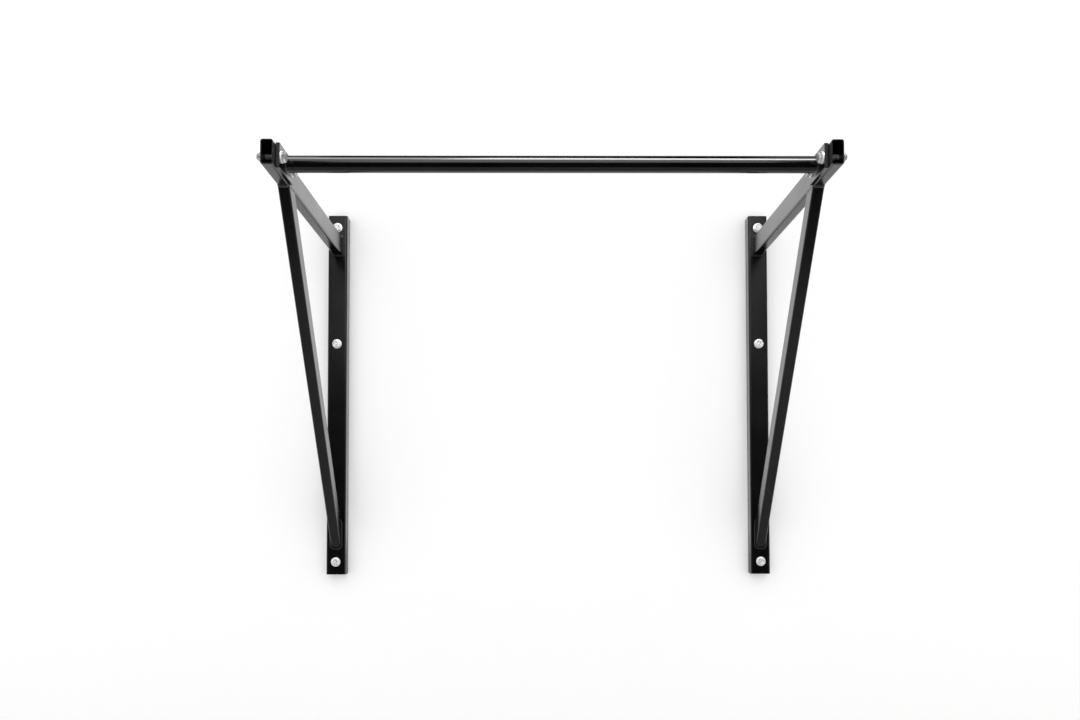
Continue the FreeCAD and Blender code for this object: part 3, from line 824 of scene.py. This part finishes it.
NECK_RADIUS = 0.0054
WALL_THREAD = {"pitch": 0.005, "depth": 0.0014, "point": (0.014, 0.0055)}
WALL_TURNS = (8, 33, 52)

# A white bloom grows on the crowns of these, in spots where the plating is thin.
spotted_zinc = zinc_plate("spotted_zinc", bright=(0.97, 0.97, 0.97, 1), dull=(0.3, 0.31, 0.32, 1),
                          bare=(0.05, 0.5), dullness=(0.4, 0.6))
for side in SIDES:
    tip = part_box(f"{side}_wall_bolts")[1].y
    mesh = bmesh.new()
    for point, turn in zip(wall_bolt_places(side), WALL_TURNS):
        bearing = point + INTO_ROOM * WASHER_THICKNESS
        place = axis_at(bearing, (0, 1, 0), math.radians(turn))
        skin(mesh, head_rings(place) + [ring(place, NECK_RADIUS, UNDER_HEAD)]
             + thread_rings(place, -bearing.y, tip - bearing.y, **WALL_THREAD),
             bright=HEAD_SIDES)
    make_piece(f"{side}_coach_screws", mesh, white_zinc, ZINC_SLOT, f"{side}_wall_bolts",
               second_finish=spotted_zinc)


# ------------------------------------------------------------------ wall and floor
# The frames hang on a plain white wall over a pale floor, at the height that the bar is used
# at. From behind, the wall lets the back of the object be seen and lit.

BAR_ABOVE_FLOOR = 2.2
WALL_GAP = 0.0002
WALL_TOP = 1.2
ROOM_REACH = 3.6
FLOOR_FRONT = 2.0
WALL_WHITE = (0.9, 0.9, 0.9, 1)
FLOOR_GREY = (0.42, 0.42, 0.41, 1)

# A painted contact shadow: the paint and its glow darken close to what stands on them. The first
# of these is how close, the second the range of openness that the painted shade spreads over, and
# the third the share of light that is left.
CONTACT_SHADE_REACH = 0.004
CONTACT_SHADE_OPEN = (0.5, 0.85)
CONTACT_SHADE_LEFT = 0.15

# The painted glow that the wall shows only in reflections fades out over these ranges, to the
# sides and down the wall.
GLOW_PATCH_WIDTH = (0.54, 0.64)
GLOW_PATCH_FOOT = (-0.45, -0.35)


def backdrop(name, corners, material):
    """A flat stage piece over these corners."""
    data = bpy.data.meshes.new(name)
    data.from_pydata(corners, [], [tuple(range(len(corners)))])
    data.materials.append(material)
    stage = bpy.data.objects.new(name, data)
    bpy.context.scene.collection.objects.link(stage)
    stage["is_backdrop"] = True


def pale_paint(name, colour, seen_glow, painted_reflection_glow):
    """Pale paint that keeps its shadows, with a painted contact shadow in the crevice beside what
    stands on it. The glows are what it adds for the camera, and a painted glow seen only in
    reflections, on the wall behind the frames."""
    material, tree = new_material(name)
    path = shader_node(tree, "LightPath").outputs
    mirrored = combine(tree, "MAXIMUM", path["Is Glossy Ray"], path["Is Transmission Ray"])
    place = shader_node(tree, "TexCoord").outputs["Object"]
    place = shader_node(tree, "SeparateXYZ", {0: place}).outputs
    aside = shader_node(tree, "Math", {0: place["X"]}, operation="ABSOLUTE").outputs[0]
    # A painted glow, seen only in reflections, on the patch of wall behind the frames.
    painted_glow_patch = combine(tree, "MULTIPLY", spread(tree, aside, *GLOW_PATCH_WIDTH, painted_reflection_glow, 0.0),
                  spread(tree, place["Z"], *GLOW_PATCH_FOOT))
    glow = combine(tree, "ADD", combine(tree, "MULTIPLY", path["Is Camera Ray"], seen_glow),
                   combine(tree, "MULTIPLY", mirrored, painted_glow_patch))
    # Painted contact shadow: occlusion darkens the paint and its glow right beside what stands on
    # it.
    contact_occlusion = shader_node(tree, "AmbientOcclusion", {"Distance": CONTACT_SHADE_REACH}, samples=8)
    shade = spread(tree, contact_occlusion.outputs["AO"], *CONTACT_SHADE_OPEN, CONTACT_SHADE_LEFT, 1.0)
    contact_shaded_colour = tinted(tree, shade, (0, 0, 0, 1), colour)
    paint = shader_node(tree, "BsdfDiffuse", {"Color": contact_shaded_colour}).outputs[0]
    light = shader_node(tree, "Emission", {
        "Strength": combine(tree, "MULTIPLY", glow, shade)}).outputs[0]
    return material, tree, shader_node(tree, "AddShader", {0: paint, 1: light})


# Rays pass through the wall from behind, and where they leave the back of an upright.
wall_paint, tree, paint = pale_paint("wall_paint", WALL_WHITE, seen_glow=0.12,
                                     painted_reflection_glow=0.45)
beside_object = combine(tree, "LESS_THAN",
                        shader_node(tree, "LightPath").outputs["Ray Length"], WALL_GAP * 3)
see_through = combine(tree, "MAXIMUM", beside_object,
                      shader_node(tree, "NewGeometry").outputs["Backfacing"])
show_surface(tree, shader_node(tree, "MixShader", {
    0: see_through, 1: paint.outputs[0],
    2: shader_node(tree, "BsdfTransparent").outputs[0]}))

floor_paint, tree, paint = pale_paint("floor_paint", FLOOR_GREY, seen_glow=0.6,
                                      painted_reflection_glow=0.0)
show_surface(tree, paint)

bar_height = sum(corner.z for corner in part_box("pull_up_bar")) / 2
floor = bar_height - BAR_ABOVE_FLOOR
backdrop("wall", [(-ROOM_REACH, WALL_GAP, floor), (ROOM_REACH, WALL_GAP, floor),
                  (ROOM_REACH, WALL_GAP, WALL_TOP), (-ROOM_REACH, WALL_GAP, WALL_TOP)],
         wall_paint)
backdrop("floor", [(-ROOM_REACH, -FLOOR_FRONT, floor), (ROOM_REACH, -FLOOR_FRONT, floor),
                   (ROOM_REACH, ROOM_REACH, floor), (-ROOM_REACH, ROOM_REACH, floor)],
         floor_paint)


# ------------------------------------------------------------------ light
# An even white sky lights the room softly from all sides but isn't mirrored, so black tube stays
# black. What the coat and the zinc mirror is two soft boxes in front, two strip lights over the
# bar, a big soft box behind the wall, dim panels all round and one over each end of the bar.

BOX_AIM = (0.05, -0.6, 0.39)
STRIP_TURN = math.radians(-17)
PANEL_PLACES = 8
PANEL_DISTANCE = 4
PANEL_WATTS_PER_METRE = 6
A_HAIR = 0.001
SKY_STRENGTH = 1.15


def soft_box(name, middle, aim, width, height, watts):
    """A rectangular lamp at middle that faces aim, and shows only as a reflection."""
    data = bpy.data.lights.new(name, "AREA")
    data.shape = "RECTANGLE"
    data.size, data.size_y = width, height
    data.energy = watts
    lamp = bpy.data.objects.new(name, data)
    lamp.location = middle
    lamp.rotation_euler = (Vector(aim) - Vector(middle)).to_track_quat("-Z", "Y").to_euler()
    lamp.visible_camera = False
    lamp.visible_diffuse = False
    bpy.context.scene.collection.objects.link(lamp)
    return lamp


def below(middle):
    """Straight down from middle, a hair off so that the lamp's own top points to the wall."""
    return middle[0], middle[1] + A_HAIR, 0


soft_box("low_front_box", (0.05, -3.25, 1.11), BOX_AIM, width=2.2, height=0.95, watts=16)
soft_box("high_front_box", (0.05, -2.71, 2.16), BOX_AIM, width=2.7, height=1.37, watts=31)
soft_box("back_soft_box", (0.4, 3.0, 1.2), (0, 0, 0), width=4.0, height=3.0, watts=40)
for name, middle, length, watts in (("long_strip_light", (0.05, -1.8, 2.3), 2.6, 66),
                                    ("short_strip_light", (0.55, -1.95, 2.31), 1.9, 78)):
    strip = soft_box(name, middle, below(middle), width=length, height=1.0, watts=watts)
    strip.rotation_euler.z += STRIP_TURN

# The ring of panels is open in front, and narrow beside that, to keep the front faces dark.
for turn in range(1, PANEL_PLACES):
    outward = Matrix.Rotation(turn / PANEL_PLACES * math.tau, 3, "Z") @ INTO_ROOM
    width = 1.9 if turn in (1, PANEL_PLACES - 1) else 3.2
    soft_box(f"dim_panel_{turn}", outward * PANEL_DISTANCE, (0, 0, 0), width=width, height=3.4,
             watts=width * PANEL_WATTS_PER_METRE)
for side, sign in SIDES.items():
    middle = (sign * 1.5, 0, 3.4)
    soft_box(f"{side}_ceiling_panel", middle, below(middle), width=0.7, height=2.0, watts=4)

world = bpy.data.worlds.new("white_sky")
world.use_nodes = True
sky = world.node_tree.nodes["Background"].inputs
sky["Color"].default_value = (1, 1, 1, 1)
sky["Strength"].default_value = SKY_STRENGTH
world.cycles_visibility.glossy = False
bpy.context.scene.world = world


# ------------------------------------------------------------------ camera
# The eye is in front of the frames and below the arms. It looks a little up, and the lens is
# shifted up for the rest.

EYE = (-0.035, -2.4073, -0.2979)
TURNED, TILTED, ROLLED = -0.0055, 0.0339, -0.0013

camera_data = bpy.data.cameras.new("camera")
camera_data.lens = 30.26
camera_data.shift_y = 0.1078
camera = bpy.data.objects.new("camera", camera_data)
camera.matrix_world = (Matrix.Translation(EYE) @ Matrix.Rotation(TURNED, 4, "Z")
                       @ Matrix.Rotation(math.pi / 2 + TILTED, 4, "X")
                       @ Matrix.Rotation(ROLLED, 4, "Z"))
bpy.context.scene.collection.objects.link(camera)
bpy.context.scene.camera = camera
bpy.context.scene.view_settings.view_transform = "Standard"


# ------------------------------------------------------------------ sizes
# The box of the object as it is now is measured.

low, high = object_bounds()
